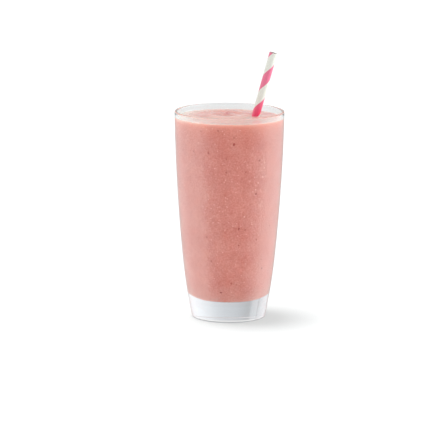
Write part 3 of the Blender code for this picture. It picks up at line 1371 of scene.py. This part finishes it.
def inked_share(tree, own, fibres):
    """1 on the pink stripe and 0 beside it, in the straw's own coordinates."""
    wound = turns_wound(tree, own, WINDING_PITCH)
    shifted = add_node(tree, "ShaderNodeMath", {"operation": "ADD"}, {0: wound, 1: STRIPE_PHASE})
    nearest = add_node(
        tree, "ShaderNodeMath", {"operation": "PINGPONG"}, {0: shifted.outputs[0], 1: 0.5}
    )
    frayed = add_node(
        tree,
        "ShaderNodeMath",
        {"operation": "MULTIPLY_ADD"},
        {0: fibres, 1: FRAYING, 2: (STRIPE_SHARE - FRAYING) / 2},
    )
    edge = add_node(
        tree, "ShaderNodeMath", {"operation": "SUBTRACT"}, {0: frayed.outputs[0], 1: nearest.outputs[0]}
    )
    return add_node(
        tree,
        "ShaderNodeMapRange",
        inputs={"Value": edge.outputs[0], "From Min": -STRIPE_BLUR, "From Max": STRIPE_BLUR},
    ).outputs["Result"]


def outside_share(tree, own):
    """1 on the outside of the straw and 0 in its bore."""
    across = add_node(tree, "ShaderNodeVectorMath", {"operation": "MULTIPLY"}, {0: own, 1: (1, 1, 0)})
    from_axis = add_node(
        tree, "ShaderNodeVectorMath", {"operation": "LENGTH"}, {0: across.outputs[0]}
    ).outputs["Value"]
    return add_node(
        tree,
        "ShaderNodeMath",
        {"operation": "GREATER_THAN"},
        {0: from_axis, 1: STRAW_RADIUS - INNER_PLY_DEPTH},
    ).outputs[0]


def dry_share(tree, place):
    """0 where the straw leaves the drink and 1 above what has soaked up."""
    height = add_node(tree, "ShaderNodeSeparateXYZ", inputs={0: place}).outputs["Z"]
    return add_node(
        tree,
        "ShaderNodeMapRange",
        {"interpolation_type": "SMOOTHSTEP"},
        {"Value": height, "From Min": LEVEL + SOAKED[0], "From Max": LEVEL + SOAKED[1]},
    ).outputs["Result"]


print("a stripe is", round(STRIPE_SHARE * WINDING_PITCH / MM, 1), "mm high on the straw")

# %% Striped paper
STRIPE_PINK = colour("#DE7190")
WET_PINK = colour("#E44268")
STRIPE_WHITE = colour("#DBDED5")
# Darker than plain paper: partly painted shade inside the bore.
INNER_PLY_AND_BORE_SHADE = colour("#A9938F")
FIBRE_SIZE = 0.5 * MM  # fibres are 0.02 mm wide, too fine to show, so their tufts are drawn instead
FIBRE_NOISE = (0.3, 0.7)
FIBRE_SHADES = (0.93, 1.0)  # from the thin places to the thick ones
TOOTH_HEIGHT = 0.03 * MM
PAPER_ROUGHNESS = (0.3, 0.52)  # wet and dry
PAPER_IOR = 1.47


def striped_paper():
    material, tree = new_material("spiral-wound striped paper")
    place = add_node(tree, "ShaderNodeTexCoord").outputs["Object"]
    own = add_node(
        tree,
        "ShaderNodeMapping",
        {"vector_type": "TEXTURE"},
        {"Vector": place, "Location": STRAW_FOOT, "Rotation": (0, STRAW_LEAN, 0)},
    ).outputs[0]
    fibres = add_node(
        tree,
        "ShaderNodeTexNoise",
        inputs={"Vector": own, "Scale": 1 / FIBRE_SIZE, "Detail": 3.0, "Distortion": 0.6},
    ).outputs["Fac"]
    dry = dry_share(tree, place)
    ink = add_node(
        tree, "ShaderNodeMix", {"data_type": "RGBA"}, {"Factor": dry, "A": WET_PINK, "B": STRIPE_PINK}
    ).outputs["Result"]
    outer_ply = add_node(
        tree,
        "ShaderNodeMix",
        {"data_type": "RGBA"},
        {"Factor": inked_share(tree, own, fibres), "A": STRIPE_WHITE, "B": ink},
    ).outputs["Result"]
    print_colour = add_node(
        tree,
        "ShaderNodeMix",
        {"data_type": "RGBA"},
        {"Factor": outside_share(tree, own), "A": INNER_PLY_AND_BORE_SHADE, "B": outer_ply},
    ).outputs["Result"]
    mottle = add_node(
        tree,
        "ShaderNodeMapRange",
        inputs={
            "Value": fibres,
            "From Min": FIBRE_NOISE[0],
            "From Max": FIBRE_NOISE[1],
            "To Min": FIBRE_SHADES[0],
            "To Max": FIBRE_SHADES[1],
        },
    ).outputs["Result"]
    paper = add_node(
        tree, "ShaderNodeVectorMath", {"operation": "SCALE"}, {"Vector": print_colour, "Scale": mottle}
    ).outputs[0]
    tooth = add_node(
        tree, "ShaderNodeBump", inputs={"Height": fibres, "Strength": 0.3, "Distance": TOOTH_HEIGHT}
    ).outputs["Normal"]
    roughness = add_node(
        tree,
        "ShaderNodeMapRange",
        inputs={"Value": dry, "To Min": PAPER_ROUGHNESS[0], "To Max": PAPER_ROUGHNESS[1]},
    ).outputs["Result"]
    surface = add_node(
        tree,
        "ShaderNodeBsdfPrincipled",
        inputs={"Base Color": paper, "Roughness": roughness, "IOR": PAPER_IOR, "Normal": tooth},
    )
    finish_material(tree, surface.outputs[0])
    return material


paper_material = striped_paper()
print(paper_material.name)

# %% The straw, wound
def make_straw():
    empty_mesh = bpy.data.meshes.new("wound_straw")
    sizes = {
        "Bore Radius": STRAW_RADIUS - STRAW_WALL,
        "Paper Wall": STRAW_WALL,
        "Length": STRAW_LENGTH,
        "Pitch": WINDING_PITCH,
        "Seam Depth": SEAM_DEPTH,
        "Seam Width": SEAM_WIDTH,
        "Lean": (0.0, STRAW_LEAN, 0.0),
        "Foot": STRAW_FOOT,
        "Paper": paper_material,
    }
    straw = grown("wound_straw", empty_mesh, winding, winding_inputs, sizes)
    straw.data.shade_smooth()
    straw.data.set_sharp_from_angle(angle=SHARP_FROM)
    return straw


straw = make_straw()
shine_only_on(straw_lamp, straw)
print("the straw has", len(straw.data.polygons), "faces")

# %% [markdown]
# ## What is sprinkled through the drink
#
# Bits of fruit skin and seed, and small air bubbles, lie all through a blended drink, and those against the
# glass show. Placing each by hand would take hours and look planted. One Geometry Nodes tree sprinkles both
# kinds. It is built in three steps. First it scatters points over the drink's wall, thickest where a noise
# makes patches of them, and adds the few that one would notice in the picture. Every point remembers which
# way is out, its size and its strength.

# %% How thickly it is sprinkled
PATCH_SIZE = 16 * MM
PATCH_NOISE = (0.4, 0.62)
PATCH_SHARES = (0.25, 1.6)  # of the mean number of points, between the patches and in them
SEED_SHIFT = (0.37, 0.11, 0.05)  # moves the patches of one kind away from those of the other


def patchy_density(tree, given):
    """How many points a square metre gets: none where there is no room, and more in patches."""
    room = add_node(
        tree, "GeometryNodeInputNamedAttribute", {"data_type": "FLOAT"}, {"Name": "room"}
    ).outputs["Attribute"]
    shift = add_node(
        tree, "ShaderNodeVectorMath", {"operation": "SCALE"}, {0: SEED_SHIFT, "Scale": given["Seed"]}
    ).outputs[0]
    position = add_node(tree, "GeometryNodeInputPosition").outputs[0]
    shifted = add_node(tree, "ShaderNodeVectorMath", {"operation": "ADD"}, {0: position, 1: shift}).outputs[0]
    patches = add_node(
        tree, "ShaderNodeTexNoise", inputs={"Vector": shifted, "Scale": 1 / PATCH_SIZE, "Detail": 1.0}
    ).outputs["Fac"]
    density = add_node(
        tree,
        "ShaderNodeMapRange",
        {"interpolation_type": "SMOOTHSTEP"},
        {
            "Value": patches,
            "From Min": PATCH_NOISE[0],
            "From Max": PATCH_NOISE[1],
            "To Min": PATCH_SHARES[0],
            "To Max": PATCH_SHARES[1],
        },
    ).outputs["Result"]
    for factor in (room, given["Per Square Metre"]):
        density = add_node(
            tree, "ShaderNodeMath", {"operation": "MULTIPLY"}, {0: density, 1: factor}
        ).outputs[0]
    return density


print("patches of about", round(PATCH_SIZE / MM), "mm")

# %% Scattered points, and the noticed ones
RANDOM_STRENGTH = (0.2, 0.9)
STRENGTH_SEED = 5


def scattered_points(tree, given):
    scattered = add_node(
        tree,
        "GeometryNodeDistributePointsOnFaces",
        {"distribute_method": "RANDOM"},
        {"Mesh": given["Geometry"], "Density": patchy_density(tree, given), "Seed": given["Seed"]},
    ).outputs
    size = add_node(
        tree,
        "FunctionNodeRandomValue",
        {"data_type": "FLOAT"},
        {"Min": given["Smallest"], "Max": given["Largest"], "Seed": given["Seed"]},
    ).outputs["Value"]
    strength = add_node(
        tree,
        "FunctionNodeRandomValue",
        {"data_type": "FLOAT"},
        {"Min": RANDOM_STRENGTH[0], "Max": RANDOM_STRENGTH[1], "Seed": STRENGTH_SEED},
    ).outputs["Value"]
    points = scattered["Points"]
    for attribute, kind, value in (
        ("outward", "FLOAT_VECTOR", scattered["Normal"]),
        ("size", "FLOAT", size),
        ("strength", "FLOAT", strength),
    ):
        points = add_node(
            tree,
            "GeometryNodeStoreNamedAttribute",
            {"data_type": kind, "domain": "POINT"},
            {"Geometry": points, "Name": attribute, "Value": value},
        ).outputs["Geometry"]
    return points


def with_noticed_points(tree, given, points):
    """The scattered points, and those of an object that already carry what they should remember."""
    noticed = add_node(tree, "GeometryNodeObjectInfo", inputs={"Object": given["Noticed Places"]})
    noticed_points = add_node(
        tree, "GeometryNodeMeshToPoints", inputs={"Mesh": noticed.outputs["Geometry"]}
    )
    both = add_node(tree, "GeometryNodeJoinGeometry", inputs={0: points})
    tree.links.new(noticed_points.outputs[0], both.inputs[0])
    return both.outputs[0]


print("strengths left to chance run from", RANDOM_STRENGTH[0], "to", RANDOM_STRENGTH[1])

# %% [markdown]
# Second, the tree stands a small squashed ball on each point, turned to the wall and twisted at random.
# Third, it sinks the balls into the drink and crumples them by a noise, which fruit skin gets much of and
# bubbles none, so the same tree makes ragged flecks and smooth beads.

# %% Balls on the points
BALL_SEGMENTS = 8
BALL_RINGS = 6
TWIST_SEED = 9


def standing_balls(tree, given, points, size, outward):
    upright = add_node(
        tree, "FunctionNodeAlignRotationToVector", {"axis": "Z"}, {"Vector": outward}
    ).outputs["Rotation"]
    twist = add_node(
        tree,
        "FunctionNodeRandomValue",
        {"data_type": "FLOAT_VECTOR"},
        {"Min": (0, 0, 0), "Max": (0, 0, 2 * math.pi), "Seed": TWIST_SEED},
    ).outputs["Value"]
    turned = add_node(
        tree,
        "FunctionNodeRotateRotation",
        {"rotation_space": "LOCAL"},
        {"Rotation": upright, "Rotate By": twist},
    ).outputs["Rotation"]
    shape = add_node(
        tree, "ShaderNodeCombineXYZ", inputs={"X": 1.0, "Y": given["Breadth"], "Z": given["Thickness"]}
    ).outputs[0]
    scale = add_node(
        tree, "ShaderNodeVectorMath", {"operation": "SCALE"}, {"Vector": shape, "Scale": size}
    ).outputs[0]
    ball = add_node(
        tree,
        "GeometryNodeMeshUVSphere",
        inputs={"Segments": BALL_SEGMENTS, "Rings": BALL_RINGS, "Radius": 0.5},
    ).outputs["Mesh"]
    return add_node(
        tree,
        "GeometryNodeInstanceOnPoints",
        inputs={"Points": points, "Instance": ball, "Rotation": turned, "Scale": scale},
    ).outputs[0]


print("a ball has", BALL_SEGMENTS * BALL_RINGS, "faces")

# %% Balls sunk and crumpled
CRUMPLE_SIZE = 0.9 * MM


def sunk(tree, given, balls, size, outward):
    """The balls moved into the drink by a share of their size."""
    depth = add_node(tree, "ShaderNodeMath", {"operation": "MULTIPLY"}, {0: size, 1: given["Sunk"]})
    below = add_node(tree, "ShaderNodeMath", {"operation": "MULTIPLY"}, {0: depth.outputs[0], 1: -1.0})
    inwards = add_node(
        tree, "ShaderNodeVectorMath", {"operation": "SCALE"}, {"Vector": outward, "Scale": below.outputs[0]}
    )
    return add_node(
        tree,
        "GeometryNodeTranslateInstances",
        inputs={"Instances": balls, "Translation": inwards.outputs[0], "Local Space": False},
    ).outputs[0]


def crumpled(tree, given, balls, size):
    """The balls made real and pushed out of shape by a share of their size."""
    real = add_node(tree, "GeometryNodeRealizeInstances", inputs={"Geometry": balls})
    position = add_node(tree, "GeometryNodeInputPosition").outputs[0]
    crumple = add_node(
        tree, "ShaderNodeTexNoise", inputs={"Vector": position, "Scale": 1 / CRUMPLE_SIZE, "Detail": 1.0}
    ).outputs["Color"]
    centred = add_node(
        tree, "ShaderNodeVectorMath", {"operation": "SUBTRACT"}, {0: crumple, 1: (0.5, 0.5, 0.5)}
    )
    reach = add_node(tree, "ShaderNodeMath", {"operation": "MULTIPLY"}, {0: size, 1: given["Crumpling"]})
    push = add_node(
        tree,
        "ShaderNodeVectorMath",
        {"operation": "SCALE"},
        {"Vector": centred.outputs[0], "Scale": reach.outputs[0]},
    )
    return add_node(
        tree, "GeometryNodeSetPosition", inputs={"Geometry": real.outputs[0], "Offset": push.outputs[0]}
    ).outputs[0]


print("the skin's crumples are", round(CRUMPLE_SIZE / MM, 1), "mm wide")

# %% The sprinkling tree
def sprinkling_tree():
    tree, identifiers, given = new_tree(
        "sprinkled in the drink",
        {
            "Noticed Places": "Object",
            "Per Square Metre": "Float",
            "Seed": "Int",
            "Smallest": "Float",
            "Largest": "Float",
            "Breadth": "Float",
            "Thickness": "Float",
            "Sunk": "Float",
            "Crumpling": "Float",
            "Finish": "Material",
        },
    )
    points = with_noticed_points(tree, given, scattered_points(tree, given))
    outward = add_node(
        tree, "GeometryNodeInputNamedAttribute", {"data_type": "FLOAT_VECTOR"}, {"Name": "outward"}
    ).outputs["Attribute"]
    size = add_node(
        tree, "GeometryNodeInputNamedAttribute", {"data_type": "FLOAT"}, {"Name": "size"}
    ).outputs["Attribute"]
    balls = standing_balls(tree, given, points, size, outward)
    balls = crumpled(tree, given, sunk(tree, given, balls, size, outward), size)
    end_tree(tree, balls, given["Finish"])
    return tree, identifiers


sprinkling, sprinkling_inputs = sprinkling_tree()
print("the sprinkling tree has", len(sprinkling.nodes), "nodes")

# %% [markdown]
# ## Places that one would notice
#
# A few flecks and bubbles stand out enough to be missed, so they get places of their own, given as one would
# find them on the glass: how far round, how high, how large and how strong. A small function turns these
# into points on the drink's wall and the way out from it, which leans with the wall.

# %% Noticed flecks and bubbles
NOTICED_FLECKS = [  # degrees round from the picture's side, height in mm, size in mm, strength of its red
    (-12, 147, 1.9, 0.25),
    (5, 142, 1.8, 0.1),
    (5, 137, 2.5, 0.75),
    (-23, 130, 2.0, 0.65),
    (-42, 130, 2.0, 0.6),
    (-3, 126, 1.9, 0.2),
    (35, 124, 2.0, 0.55),
    (-3, 116, 2.0, 0.35),
    (19, 116, 1.9, 0.2),
    (32, 99, 2.1, 0.6),
    (58, 73, 1.9, 0.3),
    (12, 73, 2.2, 0.7),
    (20, 72, 1.8, 0.35),
    (-28, 66, 1.9, 0.55),
    (36, 64, 1.9, 0.3),
    (47, 48, 1.9, 0.1),
    (-23, 48, 1.9, 0.4),
    (49, 41, 2.0, 0.7),
    (4, 31, 2.1, 0.45),
    (11, 30, 1.8, 0.1),
    (-12, 23.5, 2.2, 0.75),
]
NOTICED_BUBBLES = [  # likewise, with the strength of its white
    (42, 122, 1.6, 1.0),
    (42, 118, 1.4, 1.0),
    (40, 111, 1.7, 1.0),
    (34, 107, 1.4, 0.8),
    (31, 102, 1.4, 0.7),
    (18, 82, 1.4, 0.8),
    (-4, 110, 1.2, 0.5),
    (3, 109, 1.2, 0.5),
    (-2, 96, 1.2, 0.5),
    (9, 77, 1.2, 0.4),
    (-5, 72, 1.2, 0.5),
    (-35, 137, 1.2, 0.8),
]
print(len(NOTICED_FLECKS), "flecks and", len(NOTICED_BUBBLES), "bubbles have places of their own")

# %% From places round the glass to points on the drink's wall
DRINK_SIDES = [(z, radius) for radius, z in cavity_outline(LEVEL, -REACH)[1:]]


def drink_radius(z):
    return read_off(z, DRINK_SIDES)


def drink_wall_at(degrees, height):
    """A place on the drink's wall, and the way out from it."""
    turn = math.radians(degrees)
    lean = lean_of(drink_radius, height)
    radius = drink_radius(height)
    outward = Vector((math.sin(turn) * math.cos(lean), -math.cos(turn) * math.cos(lean), -math.sin(lean)))
    return Vector((radius * math.sin(turn), -radius * math.cos(turn), height)), outward


def noticed_places(name, noticed):
    """Loose points that carry which way is out, their size and their strength."""
    found = [drink_wall_at(degrees, height * MM) for degrees, height, _, _ in noticed]
    mesh = bpy.data.meshes.new(name)
    mesh.from_pydata([place for place, _ in found], [], [])
    outward = mesh.attributes.new("outward", "FLOAT_VECTOR", "POINT")
    outward.data.foreach_set("vector", [x for _, way in found for x in way])
    sizes = [size * MM for _, _, size, _ in noticed]
    mesh.attributes.new("size", "FLOAT", "POINT").data.foreach_set("value", sizes)
    strengths = [strength for _, _, _, strength in noticed]
    mesh.attributes.new("strength", "FLOAT", "POINT").data.foreach_set("value", strengths)
    return add_object(name, mesh)


degrees, height, _, _ = NOTICED_FLECKS[0]
print("the first fleck lies at", [round(x / MM, 1) for x in drink_wall_at(degrees, height * MM)[0]], "mm")

# %% [markdown]
# ## Room for the rest
#
# The tree is told where there is room by a number on the drink's points. Stray fruit lies mostly at the sides
# and the back, because in front the noticed flecks are already most of what shows. Bubbles rise, so there
# are more of them higher up, and a few lie on the top along the glass.

# %% Where stray fruit and air may lie
FRUIT_BELOW_LEVEL = 5 * MM
FRUIT_ABOVE_FLOOR = 6 * MM
FRUIT_IN_FRONT = 0.4  # the share of the room that is left there
FRUIT_TURN = (-0.35, -0.1)  # where that share rises to the whole, on the way round to the back
AIR_ABOVE_FLOOR = 8 * MM
AIR_LOW_DOWN = 0.45
AIR_RISES = (40 * MM, 130 * MM)  # where that share rises to the whole, on the way up
AIR_ON_TOP = 0.8
AIR_ALONG_WALL = (9 * MM, 1 * MM)  # on the top, none so far from the glass, and most so near to it
CLEAR_OF_WALL = (0.3 * MM, 1 * MM)  # and none nearer than this, so that none sits half in the glass


def fruit_room(place):
    if not FLOOR_THICKNESS + FRUIT_ABOVE_FLOOR <= place.z <= LEVEL - FRUIT_BELOW_LEVEL:
        return 0.0
    return FRUIT_IN_FRONT + (1 - FRUIT_IN_FRONT) * smooth_step(*FRUIT_TURN, behindness(place.x, place.y))


def air_room(place):
    if place.z > LEVEL - MM:
        to_wall = inner_radius(LEVEL) - math.hypot(place.x, place.y)
        return AIR_ON_TOP * smooth_step(*AIR_ALONG_WALL, to_wall) * smooth_step(*CLEAR_OF_WALL, to_wall)
    if place.z < FLOOR_THICKNESS + AIR_ABOVE_FLOOR:
        return 0.0
    return AIR_LOW_DOWN + (1 - AIR_LOW_DOWN) * smooth_step(*AIR_RISES, place.z)


def sprinkled(name, room_at, noticed, values):
    """One kind of sprinkling over the drink, as one plain piece."""
    host = smoothie.data.copy()
    room = host.attributes.new("room", "FLOAT", "POINT")
    room.data.foreach_set("value", [room_at(v.co) for v in host.vertices])
    places = noticed_places(name + "_noticed", noticed)
    piece = grown(name, host, sprinkling, sprinkling_inputs, {"Noticed Places": places, **values})
    bpy.data.objects.remove(places)
    piece.data.shade_smooth()
    return piece


print("room for bubbles halfway up:", round(air_room(Vector((0, -RIM_RADIUS, LEVEL / 2))), 2))

# %% [markdown]
# ## Fruit skin and air
#
# Fruit skin in a blended drink is dark red where it lies against the glass and fades into the pink where a
# film of drink covers it, so each fleck mixes the two by its strength. A bubble is a pale bead, because its
# wall is drink and it is lit from all round. Neither shines of its own, as drink and glass touch there. Real
# bubbles start at about a tenth of a millimetre, which is too fine to show in the render, so the smallest
# are drawn half a millimetre wide.

# %% Flecks and bubbles
SKIN_RED = colour("#AC504B")
VEILED_RED = colour("#D38679")
BUBBLE_PALE = colour("#F8C2B6")
BUBBLE_VEILED = colour("#DF988C")


def matt_by_strength(name, weak, strong):
    material, tree = new_material(name)
    strength = add_node(tree, "ShaderNodeAttribute", {"attribute_name": "strength"}).outputs["Fac"]
    mixed = add_node(
        tree, "ShaderNodeMix", {"data_type": "RGBA"}, {"Factor": strength, "A": weak, "B": strong}
    ).outputs["Result"]
    surface = add_node(
        tree,
        "ShaderNodeBsdfPrincipled",
        inputs={"Base Color": mixed, "Roughness": 0.6, "IOR": DRINK_IOR, "Specular IOR Level": 0.0},
    )
    finish_material(tree, surface.outputs[0])
    return material


flecks = sprinkled(
    "fruit_flecks",
    fruit_room,
    NOTICED_FLECKS,
    {
        "Per Square Metre": 2600.0,
        "Seed": 3,
        "Smallest": 0.8 * MM,
        "Largest": 1.6 * MM,
        "Breadth": 0.8,
        "Thickness": 0.5,
        "Sunk": 0.1,
        "Crumpling": 0.45,
        "Finish": matt_by_strength("fruit skin in the drink", VEILED_RED, SKIN_RED),
    },
)
bubbles = sprinkled(
    "air_bubbles",
    air_room,
    NOTICED_BUBBLES,
    {
        "Per Square Metre": 48000.0,
        "Seed": 11,
        "Smallest": 0.5 * MM,
        "Largest": 1.1 * MM,
        "Breadth": 1.0,
        "Thickness": 0.7,
        "Sunk": 0.18,
        "Crumpling": 0.0,
        "Finish": matt_by_strength("air bubbles in the drink", BUBBLE_VEILED, BUBBLE_PALE),
    },
)
print("flecks", len(flecks.data.polygons), "faces, bubbles", len(bubbles.data.polygons), "faces")

# %% [markdown]
# ## Handing the pieces over
#
# Nothing here moves, so all five pieces ride on the one body. The tumbler, the drink and the straw are shown
# in place of their solids, which are hidden. Flecks and bubbles have no solid of their own.

# %% Each piece rides on the body, and three solids are hidden
for piece, node, slot in (
    (tumbler, "glass", "clear_glass"),
    (smoothie, "smoothie", "smoothie"),
    (straw, "straw", "striped_paper"),
):
    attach(piece, BODY)
    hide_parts(node)
for piece in (flecks, bubbles):
    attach(piece, BODY)
print("pieces:", [piece.name for piece in (tumbler, smoothie, straw, flecks, bubbles)])

# %% Finish
bpy.context.view_layer.update()
